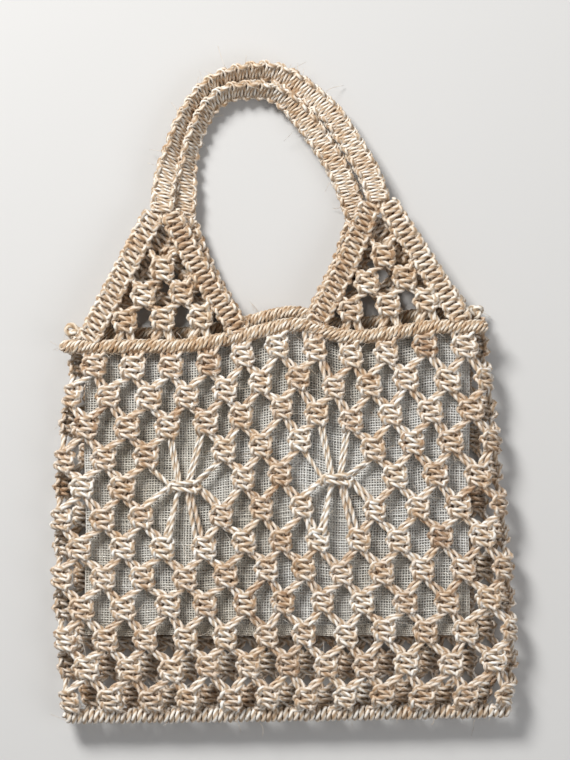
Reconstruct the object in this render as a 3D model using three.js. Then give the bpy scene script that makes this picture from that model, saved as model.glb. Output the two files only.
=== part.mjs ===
// Knotted jute handbag with a gauze lining, lying flat with both handles spread out.
// Millimetres. X runs along the rim, Y from the bottom seam to the handles, Z up off the surface.
import * as THREE from 'three';

// ---- Driving dimensions ----
const DEPTH = 26;               // the whole bag, lying flat
const NET = 9;                  // one net, through its knots
const SIDE_NET = 7;             // how far a side net reaches in from the edge
const LINING = 0.8;
const LINING_TOP = 28;
const LINING_HEM = -150;        // where the lining stops, well above the bottom seam
const LINING_SIDES = [-129, 119];
const HEM = { height: 6.7, thickness: 1.8 };
const MOUTH = 5.2;              // open height between the two linings
const GAP = 0.3;                // kept between pieces that touch
const BAR = { radius: 4.5, bore: 2.6, core: 2.3 };
const SEAM = { radius: 5, bore: 2.8, core: 2.5 };
const STAR = { radius: 20.6, waist: 7, thickness: 3.4, tieWidth: 21, tieHeight: 9, tieDepth: 2.4 };
const STRAP = { width: 12.4, thickness: 7, coreWidth: 5, coreThickness: 2.2, clearance: 0.9 };
const BORDER = { width: 12.6, thickness: 7 };
const BACK_RIM_SHIFT = 8;       // the back rim lies this much nearer the handles
const FRONT_SLOPE = -4.9;       // degrees: the front handle falls from the rim to the surface
const BACK_SLOPE = 1.15;        // degrees: the back handle lies on the surface and stands on edge

// Outline points of the two side edges, from the rim down to the bottom seam.
const LEFT_EDGE = [[-140, 21], [-148.4, -37], [-151.6, -98], [-149.6, -160], [-145.5, -203.5]];
const RIGHT_EDGE = [[132.4, 30.5], [142, -50], [149, -125], [151.6, -175], [147.5, -199.5]];
// The rim dips under each shoulder and rises between them.
const RIM = [[-144.7, 29.6], [-92, 29.8], [-62, 30.4], [-28, 36.6], [0, 43.2], [15.5, 42.8],
  [38, 36.2], [64, 37.6], [95, 42.2], [130.5, 42.3]];
const SEAM_LINE = [[-143, -210], [0, -208.5], [146, -206]];
const STAR_CENTRES = { left: [-65.1, -57.1], right: [35.2, -54.5] };

// Each handle: where its shoulders stand on the rim, their tops, and the strap's middle line.
const FRONT_HANDLE = {
  pivot: [-8, 35],
  shoulders: {
    left: { outer: [-127, 40], inner: [-31, 44.5], top: [-79.5, 115] },
    right: { outer: [113, 53], inner: [21, 49.5], top: [60.5, 121.5] },
  },
  strap: [[-79.6, 117], [-77.6, 137], [-72, 156.5], [-66.8, 172], [-59.4, 185.8], [-49.6, 197.6],
    [-34.4, 205.2], [-13.5, 208.4], [-1.5, 205.4], [7.6, 200], [18.6, 191.6], [30.6, 180.4],
    [39.6, 166.8], [47.9, 153.6], [55.5, 139.4], [60.8, 124]],
};
const BACK_HANDLE = {
  pivot: [-8, 43],
  shoulders: {
    left: { outer: [-121, 49.5], inner: [-36, 53], top: [-65.5, 111] },
    right: { outer: [110, 61], inner: [23, 57.5], top: [45.5, 114] },
  },
  strap: [[-65.5, 113], [-63.9, 137], [-60.2, 156], [-54.6, 170.4], [-47.2, 182], [-40.6, 188.2],
    [-31.2, 192], [-12.3, 192], [-2.2, 186.8], [6.4, 178.6], [15.9, 167.2], [24.8, 154.6],
    [33, 141], [40, 126.7], [45, 116]],
};
const RIM_AXIS_ANGLE = 3.8;     // degrees: the line that both handles swing about, in plan
const OUTLINE_MIDDLE = [-0.2, -1.75];   // middle of the bag's outline, which becomes the origin

// ---- Finishes ----
const jute = new THREE.MeshStandardMaterial({ color: 0xb79a6e, roughness: 0.85, metalness: 0 });
const paleJute = new THREE.MeshStandardMaterial({ color: 0xd2bd94, roughness: 0.8, metalness: 0 });
const gauze = new THREE.MeshStandardMaterial({ color: 0xc9c1b0, roughness: 0.95, metalness: 0 });

// ---- Shape helpers ----
const MIDDLE_HEIGHT = { back: NET / 2, front: DEPTH - NET / 2 };

function smooth(points, count) {
  return new THREE.SplineCurve(points.map(([x, y]) => new THREE.Vector2(x, y))).getPoints(count);
}

function route(points) {
  return new THREE.CatmullRomCurve3(points.map(([x, y]) => new THREE.Vector3(x, y, 0)));
}

function lowered(points, distance) {
  return points.map(([x, y]) => [x, y - distance]);
}

function slab(shape, thickness, middle = 0) {
  const geometry = new THREE.ExtrudeGeometry(shape, { depth: thickness, bevelEnabled: false, curveSegments: 10 });
  return geometry.translate(0, 0, middle - thickness / 2);
}

// A body swept along a flat route: an oval section, rolled about the route, with an optional bore.
function swept(path, { steps, sides = 8, width, thickness, bore = null, roll = () => 0 }) {
  const loops = bore ? [[width, thickness], bore] : [[width, thickness]];
  const vertices = [];
  for (const [across, high] of loops) {
    for (let i = 0; i <= steps; i++) {
      const middle = path.getPointAt(i / steps);
      const along = path.getTangentAt(i / steps);
      const side = new THREE.Vector3(-along.y, along.x, 0).normalize();
      const turn = THREE.MathUtils.degToRad(roll(i / steps));
      for (let k = 0; k < sides; k++) {
        const angle = 2 * Math.PI * (k + 0.5) / sides;
        const u = across / 2 * Math.cos(angle);
        const v = high / 2 * Math.sin(angle);
        const out = u * Math.cos(turn) - v * Math.sin(turn);
        vertices.push(middle.x + side.x * out, middle.y + side.y * out,
          middle.z + u * Math.sin(turn) + v * Math.cos(turn));
      }
    }
  }
  const at = (loop, i, k) => (loop * (steps + 1) + i) * sides + k % sides;
  const faces = [];
  const quad = (a, b, c, d) => faces.push(a, b, c, a, c, d);
  for (let k = 0; k < sides; k++) {
    for (let i = 0; i < steps; i++) {
      quad(at(0, i, k), at(0, i, k + 1), at(0, i + 1, k + 1), at(0, i + 1, k));
      if (bore) quad(at(1, i, k + 1), at(1, i, k), at(1, i + 1, k), at(1, i + 1, k + 1));
    }
    if (bore) {
      quad(at(0, steps, k), at(0, steps, k + 1), at(1, steps, k + 1), at(1, steps, k));
      quad(at(0, 0, k + 1), at(0, 0, k), at(1, 0, k), at(1, 0, k + 1));
    } else if (k > 1) {
      faces.push(at(0, steps, 0), at(0, steps, k - 1), at(0, steps, k));
      faces.push(at(0, 0, 0), at(0, 0, k), at(0, 0, k - 1));
    }
  }
  const geometry = new THREE.BufferGeometry();
  geometry.setAttribute('position', new THREE.Float32BufferAttribute(vertices, 3));
  geometry.setIndex(faces);
  return geometry;
}

function piece(parent, name, geometry, material) {
  const mesh = new THREE.Mesh(geometry, material);
  mesh.name = name;
  parent.add(mesh);
  return mesh;
}

// ---- The bag's two nets, with the front one's openings for the star knots ----
function netShape(rim, rimEnds) {
  const top = smooth(lowered(rim, BAR.radius + GAP), 24).filter((p) => p.x > rimEnds[0] && p.x < rimEnds[1]);
  const left = smooth(LEFT_EDGE, 10);
  const right = smooth(RIGHT_EDGE, 10);
  return new THREE.Shape([...left.reverse(), ...top, ...right]);
}

function edgeStrip(edge, inward) {
  const line = smooth(edge, 8);
  const inner = line.map((p) => new THREE.Vector2(p.x + inward, p.y)).reverse();
  return new THREE.Shape([...line, ...inner]);
}

function starShape() {
  const points = [];
  for (let k = 0; k < 16; k++) {
    const reach = k % 2 ? STAR.waist : STAR.radius;
    const angle = Math.PI * k / 8;
    points.push(new THREE.Vector2(reach * Math.cos(angle), reach * Math.sin(angle)));
  }
  return new THREE.Shape(points);
}

function liningShape() {
  const [left, right] = LINING_SIDES;
  const top = smooth(lowered(RIM, BAR.radius), 24).filter((p) => p.x > left && p.x < right);
  return new THREE.Shape([new THREE.Vector2(left, LINING_HEM), new THREE.Vector2(left, LINING_TOP - 3),
    ...top, new THREE.Vector2(right, LINING_TOP + 8), new THREE.Vector2(right, LINING_HEM)]);
}

function hemShape() {
  const [left, right] = LINING_SIDES;
  const upper = LINING_HEM - GAP;
  const lower = upper - HEM.height;
  return new THREE.Shape([new THREE.Vector2(left, lower), new THREE.Vector2(right, lower),
    new THREE.Vector2(right, upper), new THREE.Vector2(left, upper)]);
}

// A rim bar: core cords, and the row of hitches that wraps them.
function addBar(parent, name, points, size) {
  const line = route(points);
  const turns = 22;
  piece(parent, `${name}_core`, swept(line, { steps: turns, width: 2 * size.core, thickness: 2 * size.core }), jute);
  piece(parent, `${name}_hitches`, swept(line, {
    steps: turns, width: 2 * size.radius, thickness: 2 * size.radius, bore: [2 * size.bore, 2 * size.bore],
  }), jute);
}

function addLining(parent, end, middle, towardsMouth) {
  piece(parent, `lining_${end}`, slab(liningShape(), LINING, middle), gauze);
  piece(parent, `lining_hem_${end}`, slab(hemShape(), HEM.thickness, middle + towardsMouth * 0.2), gauze);
}

// ---- Handles ----
// A shoulder: two border bands that lean together, and the net of six knots between them.
function addShoulder(parent, name, { outer, inner, top }) {
  const peak = new THREE.Vector2(...top);
  const apart = BORDER.width / 2 + 3;
  const feet = [outer, inner].map((foot) => new THREE.Vector2(...foot));
  feet.forEach((foot, i) => {
    const towards = Math.sign(foot.x - peak.x);
    const end = new THREE.Vector2(peak.x + towards * apart, peak.y - 5.5);
    const band = route([[foot.x, foot.y], [(foot.x + end.x) / 2, (foot.y + end.y) / 2], [end.x, end.y]]);
    piece(parent, `${name}_border_${i ? 'inner' : 'outer'}`,
      swept(band, { steps: 6, width: BORDER.width, thickness: BORDER.thickness }), jute);
  });
  const inset = BORDER.width / 2 + 5.5;
  const corners = feet.map((foot) => {
    const towards = Math.sign(peak.x - foot.x);
    return new THREE.Vector2(foot.x + towards * inset, foot.y + 1.5);
  });
  const fillTop = new THREE.Vector2(peak.x, peak.y - 24);
  const outline = corners[0].x < corners[1].x ? corners : [...corners].reverse();
  piece(parent, `${name}_knots`, slab(new THREE.Shape([...outline, fillTop]), BORDER.thickness), jute);
}

// The strap lies flat at its ends and stands on edge round the top of the arch.
function strapRoll(t) {
  const rise = THREE.MathUtils.smoothstep(t, 0.06, 0.2);
  const fall = 1 - THREE.MathUtils.smoothstep(t, 0.5, 0.72);
  return 90 * Math.min(rise, fall);
}

function makeHandle(name, plan, slope) {
  const lift = new THREE.Group();
  lift.position.set(plan.pivot[0], plan.pivot[1], 0);
  const axis = new THREE.Vector3(1, 0, 0).applyAxisAngle(
    new THREE.Vector3(0, 0, 1), THREE.MathUtils.degToRad(RIM_AXIS_ANGLE));
  lift.quaternion.setFromAxisAngle(axis, THREE.MathUtils.degToRad(slope));
  const inPlace = new THREE.Group();
  inPlace.position.set(-plan.pivot[0], -plan.pivot[1], 0);
  lift.add(inPlace);
  addShoulder(inPlace, `${name}_left`, plan.shoulders.left);
  addShoulder(inPlace, `${name}_right`, plan.shoulders.right);
  const line = route(plan.strap);
  piece(inPlace, `${name}_strap_core`, swept(line, {
    steps: 26, width: STRAP.coreWidth, thickness: STRAP.coreThickness, roll: strapRoll,
  }), jute);
  piece(inPlace, `${name}_strap_knots`, swept(line, {
    steps: 26, width: STRAP.width, thickness: STRAP.thickness,
    bore: [STRAP.coreWidth + 2 * STRAP.clearance, STRAP.coreThickness + 2 * STRAP.clearance],
    roll: strapRoll,
  }), jute);
  return lift;
}

// ---- Back half: rests on its underside ----
const backRim = RIM.map(([x, y]) => [x * 0.955 - 2, y + BACK_RIM_SHIFT]);
const backPanel = new THREE.Group();
backPanel.position.z = MIDDLE_HEIGHT.back;
const backLiningHeight = DEPTH / 2 - MOUTH / 2 - LINING / 2 - MIDDLE_HEIGHT.back;
piece(backPanel, 'back_net', slab(netShape(backRim, [-137, 121]), NET), jute);
addBar(backPanel, 'back_rim', backRim, BAR);
addLining(backPanel, 'back', backLiningHeight, 1);
const loop = new THREE.TorusGeometry(4, 1.5, 8, 14);
piece(backPanel, 'back_rim_loop', loop, jute).position.set(-146.5, 38.5, 0);
piece(backPanel, 'back_rim_end_knot', new THREE.SphereGeometry(3.9, 10, 8), jute).position.set(127.5, 50.8, 0);
piece(backPanel, 'side_net_left', slab(edgeStrip(LEFT_EDGE, SIDE_NET), DEPTH - 2 * NET - 2 * GAP,
  DEPTH / 2 - MIDDLE_HEIGHT.back), jute);
piece(backPanel, 'side_net_right', slab(edgeStrip(RIGHT_EDGE, -SIDE_NET), DEPTH - 2 * NET - 2 * GAP,
  DEPTH / 2 - MIDDLE_HEIGHT.back), jute);
const seam = new THREE.Group();
seam.position.z = DEPTH / 2 - MIDDLE_HEIGHT.back;
addBar(seam, 'bottom_seam', SEAM_LINE, SEAM);
backPanel.add(seam);

// ---- Front half: swings about the bottom seam ----
const frontPanel = new THREE.Group();
frontPanel.position.z = MIDDLE_HEIGHT.front;
const frontShape = netShape(RIM, [-137, 129]);
for (const [x, y] of Object.values(STAR_CENTRES)) {
  frontShape.holes.push(new THREE.Path().absarc(x, y, STAR.radius + 0.4, 0, 2 * Math.PI));
}
piece(frontPanel, 'front_net', slab(frontShape, NET), jute);
addBar(frontPanel, 'front_rim', RIM, BAR);
addLining(frontPanel, 'front', DEPTH / 2 + MOUTH / 2 + LINING / 2 - MIDDLE_HEIGHT.front, -1);
for (const [side, [x, y]] of Object.entries(STAR_CENTRES)) {
  const star = new THREE.Group();
  star.position.set(x, y, 0);
  piece(star, `star_${side}_floats`, slab(starShape(), STAR.thickness), paleJute);
  const tie = new THREE.Shape();
  tie.absellipse(0, 0, STAR.tieWidth / 2, STAR.tieHeight / 2, 0, 2 * Math.PI);
  piece(star, `star_${side}_tie`, slab(tie, STAR.tieDepth, (STAR.thickness + STAR.tieDepth) / 2 + GAP), jute);
  frontPanel.add(star);
}

backPanel.add(makeHandle('back_handle', BACK_HANDLE, BACK_SLOPE));
frontPanel.add(makeHandle('front_handle', FRONT_HANDLE, FRONT_SLOPE));

const bag = new THREE.Group();
bag.position.set(-OUTLINE_MIDDLE[0], -OUTLINE_MIDDLE[1], 0);
bag.add(backPanel, frontPanel);

export default bag;
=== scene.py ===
# %% [markdown]
# # A knotted jute handbag
# The bag lies flat with its two handles spread above it. Almost all of it is one material, a
# two-ply jute cord, so this lesson makes one good cord first and then ties it into every piece:
# the nets, the rims, the seam, the shoulders and the straps. The lining is woven from thin threads.

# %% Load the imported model
import math

import bpy
import numpy as np
from mathutils import Matrix, Vector


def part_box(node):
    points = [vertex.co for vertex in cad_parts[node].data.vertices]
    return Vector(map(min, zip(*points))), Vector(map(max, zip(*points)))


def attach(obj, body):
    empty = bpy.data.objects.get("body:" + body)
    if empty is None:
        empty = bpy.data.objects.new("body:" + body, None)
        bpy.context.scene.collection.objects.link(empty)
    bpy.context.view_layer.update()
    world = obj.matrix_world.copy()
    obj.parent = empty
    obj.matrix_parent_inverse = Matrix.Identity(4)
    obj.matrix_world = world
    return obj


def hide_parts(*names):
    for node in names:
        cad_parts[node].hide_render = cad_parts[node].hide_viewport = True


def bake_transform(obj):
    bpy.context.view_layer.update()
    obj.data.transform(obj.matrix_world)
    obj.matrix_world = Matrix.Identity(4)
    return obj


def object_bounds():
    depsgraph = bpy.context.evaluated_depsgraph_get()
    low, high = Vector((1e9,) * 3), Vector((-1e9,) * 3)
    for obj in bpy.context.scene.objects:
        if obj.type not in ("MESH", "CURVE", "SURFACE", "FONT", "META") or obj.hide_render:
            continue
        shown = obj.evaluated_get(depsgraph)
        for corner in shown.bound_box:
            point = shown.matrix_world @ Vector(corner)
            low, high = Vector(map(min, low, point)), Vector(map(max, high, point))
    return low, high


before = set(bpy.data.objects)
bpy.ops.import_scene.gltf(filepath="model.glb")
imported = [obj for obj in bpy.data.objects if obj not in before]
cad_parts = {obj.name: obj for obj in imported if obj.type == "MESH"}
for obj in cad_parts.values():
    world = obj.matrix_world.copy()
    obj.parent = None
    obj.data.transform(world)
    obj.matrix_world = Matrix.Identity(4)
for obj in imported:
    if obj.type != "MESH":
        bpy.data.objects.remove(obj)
cad_low, cad_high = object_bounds()
MM = 0.001

# %% [markdown]
# ## The camera and the light
# The bag is seen from straight above. A long lens far away keeps the rims from leaning, so the
# camera stands 1.8 metres up and its lens is worked out from the width that it has to take in.

# %% Camera and light
VIEW_HEIGHT = 1.8
VIEW_TALL = 0.4905          # how much of the surface the upright frame takes in
VIEW_MIDDLE = (0.0002, 0.0098)
SENSOR = 36.0


def add_camera():
    data = bpy.data.cameras.new("camera")
    data.sensor_width = SENSOR
    data.lens = SENSOR * (VIEW_HEIGHT - cad_high.z * 0.8) / VIEW_TALL
    data.clip_start = 0.05
    camera = bpy.data.objects.new("camera", data)
    camera.location = (*VIEW_MIDDLE, VIEW_HEIGHT)
    bpy.context.scene.collection.objects.link(camera)
    bpy.context.scene.camera = camera


def add_soft_light(name, place, size, power, tint):
    data = bpy.data.lights.new(name, "AREA")
    data.size = size
    data.energy = power
    data.color = tint
    light = bpy.data.objects.new(name, data)
    light.location = place
    aim = -light.location.normalized()
    light.rotation_euler = aim.to_track_quat("-Z", "Y").to_euler()
    bpy.context.scene.collection.objects.link(light)


KEY = {"place": (-0.8, 1.2, 1.35), "size": 0.55, "power": 45, "tint": (1.0, 1.0, 0.985)}
FILL = {"place": (1.2, -0.5, 1.4), "size": 1.2, "power": 8, "tint": (0.97, 0.98, 1.0)}
WORLD_COLOUR = (0.86, 0.87, 0.88, 1)
WORLD_STRENGTH = 0.31

add_camera()
add_soft_light("key", **KEY)
add_soft_light("fill", **FILL)
world = bpy.data.worlds.new("studio")
bpy.context.scene.world = world
world.use_nodes = True
world.node_tree.nodes["Background"].inputs["Color"].default_value = WORLD_COLOUR
world.node_tree.nodes["Background"].inputs["Strength"].default_value = WORLD_STRENGTH
bpy.context.scene.view_settings.view_transform = "Standard"

# %% [markdown]
# ## Finishes
# Jute is silky where it is new, and brown blotches lie along it; the groove between its plies is
# darkened with a painted shade. Each cord carries its own map: one number round the cord and one
# along it. Fibre streaks follow that map, so they twist with the cord. A second number, the cord's
# own shade, makes neighbouring cords differ a little.

# %% Node helpers
def new_material(name):
    material = bpy.data.materials.new(name)
    material.use_nodes = True
    return material, material.node_tree.nodes["Principled BSDF"]


def add_node(tree, kind, **values):
    """Adds a node; values name its inputs, or its properties when it has no such input."""
    node = tree.nodes.new(kind)
    for key, value in values.items():
        if key in node.inputs.keys():
            node.inputs[key].default_value = value
        else:
            setattr(node, key, value)
    return node


def ramp(tree, source, stops):
    """A colour ramp over a value, from (place, colour) stops."""
    node = tree.nodes.new("ShaderNodeValToRGB")
    points = node.color_ramp.elements
    while len(points) < len(stops):
        points.new(0.5)
    for point, (place, colour) in zip(points, stops):
        point.position = place
        point.color = (*colour, 1)
    tree.links.new(source, node.inputs["Fac"])
    return node.outputs["Color"]


def mix(tree, kind, factor, first, second):
    """Mixes two colours; each may be a socket or a fixed colour, and so may the factor."""
    node = add_node(tree, "ShaderNodeMix", data_type="RGBA", blend_type=kind)
    for place, value in ((0, factor), (6, first), (7, second)):
        if isinstance(value, bpy.types.NodeSocket):
            tree.links.new(value, node.inputs[place])
        else:
            node.inputs[place].default_value = value if place == 0 else (*value, 1)
    return node.outputs[2]


def math_node(tree, operation, first, second):
    node = add_node(tree, "ShaderNodeMath", operation=operation)
    for place, value in enumerate((first, second)):
        if isinstance(value, bpy.types.NodeSocket):
            tree.links.new(value, node.inputs[place])
        else:
            node.inputs[place].default_value = value
    return node.outputs[0]


# %% The fibre group, shared by every cord
def make_fibre_group():
    """Streaks that run along the cord, blotches along its length, and a painted shade in the groove between
    the plies.
    """
    group = bpy.data.node_groups.new("cord_fibres", "ShaderNodeTree")
    side = group.interface.new_socket
    side("Streak size", in_out="INPUT", socket_type="NodeSocketFloat").default_value = 1
    side("Streaks", in_out="OUTPUT", socket_type="NodeSocketFloat")
    side("Blotches", in_out="OUTPUT", socket_type="NodeSocketFloat")
    side("Groove shade", in_out="OUTPUT", socket_type="NodeSocketFloat")
    side("Shade", in_out="OUTPUT", socket_type="NodeSocketFloat")
    ends_in = group.nodes.new("NodeGroupInput")
    ends_out = group.nodes.new("NodeGroupOutput")
    uv = add_node(group, "ShaderNodeUVMap", uv_map="cord_map")
    stretched = add_node(group, "ShaderNodeMapping", Scale=(22, 0.9, 1))
    streaks = add_node(group, "ShaderNodeTexNoise", Detail=3.0, Roughness=0.65)
    place = add_node(group, "ShaderNodeTexCoord")
    blotches = add_node(group, "ShaderNodeTexNoise", Scale=95.0, Detail=2.0)
    parts = group.nodes.new("ShaderNodeSeparateXYZ")
    # painted shade: darkest in the two valleys between the plies, a quarter and three quarters of the way
    # round the cord
    turn = math_node(group, "MULTIPLY", parts.outputs["X"], 4 * math.pi)
    wave = math_node(group, "COSINE", turn, 0)
    groove_shade = math_node(group, "MULTIPLY_ADD", wave, -0.5)
    groove_shade.node.inputs[2].default_value = 0.5
    shade = add_node(group, "ShaderNodeAttribute", attribute_name="cord_shade")
    link = group.links.new
    link(uv.outputs["UV"], stretched.inputs["Vector"])
    link(uv.outputs["UV"], parts.inputs["Vector"])
    link(stretched.outputs["Vector"], streaks.inputs["Vector"])
    link(ends_in.outputs["Streak size"], streaks.inputs["Scale"])
    link(place.outputs["Object"], blotches.inputs["Vector"])
    link(streaks.outputs["Fac"], ends_out.inputs["Streaks"])
    link(blotches.outputs["Fac"], ends_out.inputs["Blotches"])
    link(groove_shade, ends_out.inputs["Groove shade"])
    link(shade.outputs["Fac"], ends_out.inputs["Shade"])
    return group


fibre_group = make_fibre_group()


GROOVE_SHADE_DEPTH = 0.9           # how strongly the painted shade darkens the groove between the plies
# colour of the painted shade in that groove
GROOVE_SHADE_COLOUR = (0.46, 0.33, 0.20)


def make_jute(name, dark, middle, light, streak_size=1.0, sheen=0.25):
    material, shader = new_material(name)
    tree = material.node_tree
    fibres = tree.nodes.new("ShaderNodeGroup")
    fibres.node_tree = fibre_group
    fibres.inputs["Streak size"].default_value = streak_size
    out = fibres.outputs
    tone = math_node(tree, "MULTIPLY_ADD", out["Shade"], 0.5)
    streaks = math_node(tree, "MULTIPLY_ADD", out["Streaks"], 1.3)
    streaks.node.inputs[2].default_value = -0.4
    tree.links.new(streaks, tone.node.inputs[2])
    colour = ramp(tree, tone, ((0.18, dark), (0.42, middle), (0.64, light)))
    brown = ramp(tree, out["Blotches"], ((0.34, (0.82, 0.68, 0.52)), (0.5, (1, 1, 1))))
    colour = mix(tree, "MULTIPLY", 0.7, colour, brown)
    # painted shade: the groove between the plies is darkened towards brown, standing in for the shadow that
    # falls there
    groove_shade = math_node(tree, "MULTIPLY", out["Groove shade"], GROOVE_SHADE_DEPTH)
    colour = mix(tree, "MULTIPLY", groove_shade, colour, GROOVE_SHADE_COLOUR)
    tree.links.new(colour, shader.inputs["Base Color"])
    shader.inputs["Roughness"].default_value = 0.62
    shader.inputs["Sheen Weight"].default_value = sheen
    shader.inputs["Sheen Roughness"].default_value = 0.4
    shader.inputs["Sheen Tint"].default_value = (1.0, 0.95, 0.88, 1)
    bump = add_node(tree, "ShaderNodeBump", Strength=0.5, Distance=0.00025)
    tree.links.new(out["Streaks"], bump.inputs["Height"])
    tree.links.new(bump.outputs["Normal"], shader.inputs["Normal"])
    return material


jute_net = make_jute("jute_net", (0.40, 0.25, 0.15), (0.83, 0.70, 0.57), (0.98, 0.96, 0.92))
jute_rim = make_jute("jute_rim", (0.30, 0.17, 0.08), (0.76, 0.59, 0.42), (0.97, 0.93, 0.85))
jute_handle = make_jute("jute_handle", (0.34, 0.20, 0.10), (0.79, 0.64, 0.49), (0.97, 0.94, 0.88))
jute_pale = make_jute("jute_pale", (0.70, 0.54, 0.38), (0.92, 0.84, 0.72), (0.98, 0.95, 0.90), sheen=0.4)
jute_fuzz = make_jute("jute_fuzz", (0.70, 0.56, 0.40), (0.90, 0.82, 0.70), (0.98, 0.95, 0.90), sheen=0.5)


def make_gauze(name, dark, light):
    """Cotton threads: an attribute shades each thread, and broad stains lie over the weave."""
    material, shader = new_material(name)
    tree = material.node_tree
    shade = add_node(tree, "ShaderNodeAttribute", attribute_name="cord_shade")
    place = add_node(tree, "ShaderNodeTexCoord")
    stains = add_node(tree, "ShaderNodeTexNoise", Scale=14.0, Detail=4.0)
    lint = add_node(tree, "ShaderNodeTexNoise", Scale=900.0, Detail=2.0)
    tree.links.new(place.outputs["Object"], stains.inputs["Vector"])
    tree.links.new(place.outputs["Object"], lint.inputs["Vector"])
    colour = ramp(tree, shade.outputs["Fac"], ((0.1, dark), (0.9, light)))
    stain = ramp(tree, stains.outputs["Fac"], ((0.35, (0.80, 0.75, 0.66)), (0.62, (1, 1, 1))))
    colour = mix(tree, "MULTIPLY", 0.8, colour, stain)
    tree.links.new(colour, shader.inputs["Base Color"])
    shader.inputs["Roughness"].default_value = 0.85
    shader.inputs["Sheen Weight"].default_value = 0.2
    bump = add_node(tree, "ShaderNodeBump", Strength=0.4, Distance=0.0002)
    tree.links.new(lint.outputs["Fac"], bump.inputs["Height"])
    tree.links.new(bump.outputs["Normal"], shader.inputs["Normal"])
    return material


gauze = make_gauze("gauze", (0.68, 0.66, 0.62), (0.95, 0.94, 0.91))
gauze_hem = make_gauze("gauze_hem", (0.55, 0.50, 0.43), (0.86, 0.82, 0.75))

# %% [markdown]
# ## The cord
# A two-ply cord has a section like a peanut, which turns as it goes along. Here many cords are made
# at once: each is a list of points that a smooth line passes through, and the section is carried
# along that line without twisting and then turned by the lay of the plies.

# %% Lines through points
CORD = 3.0 * MM              # pulled tight, which sets the size of the knots
THREAD = 3.55 * MM           # the same cord with its loose outer fibres
PLY_SECTION = np.array([1.0, 0.90, 0.66, 0.90, 1.0, 0.90, 0.66, 0.90])
LAY = 14 * MM                # length of one full turn of the plies


def smooth_lines(controls, parts=8):
    """Smooth lines through control points: (lines, points, 3) in, (lines, more points, 3) out."""
    before = 2 * controls[:, :1] - controls[:, 1:2]
    after = 2 * controls[:, -1:] - controls[:, -2:-1]
    p = np.concatenate([before, controls, after], 1)
    t = np.linspace(0, 1, parts, endpoint=False)[None, None, :, None]
    a, b, c, d = (p[:, i:p.shape[1] - 3 + i, None] for i in range(4))
    line = 0.5 * (2 * b + (c - a) * t + (2 * a - 5 * b + 4 * c - d) * t ** 2
                  + (3 * b - a - 3 * c + d) * t ** 3)
    line = line.reshape(len(controls), -1, 3)
    return np.concatenate([line, controls[:, -1:]], 1)


def even_steps(lines, step):
    """Places the points of each line at equal distances, about one step apart."""
    gaps = np.linalg.norm(np.diff(lines, axis=1), axis=2)
    far = np.concatenate([np.zeros((len(lines), 1)), np.cumsum(gaps, 1)], 1)
    count = max(4, int(round(far[:, -1].mean() / step)) + 1)
    out = np.empty((len(lines), count, 3))
    for i, line in enumerate(lines):
        places = np.linspace(0, far[i, -1], count)
        for axis in range(3):
            out[i, :, axis] = np.interp(places, far[i], line[:, axis])
    return out, far[:, -1]


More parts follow.
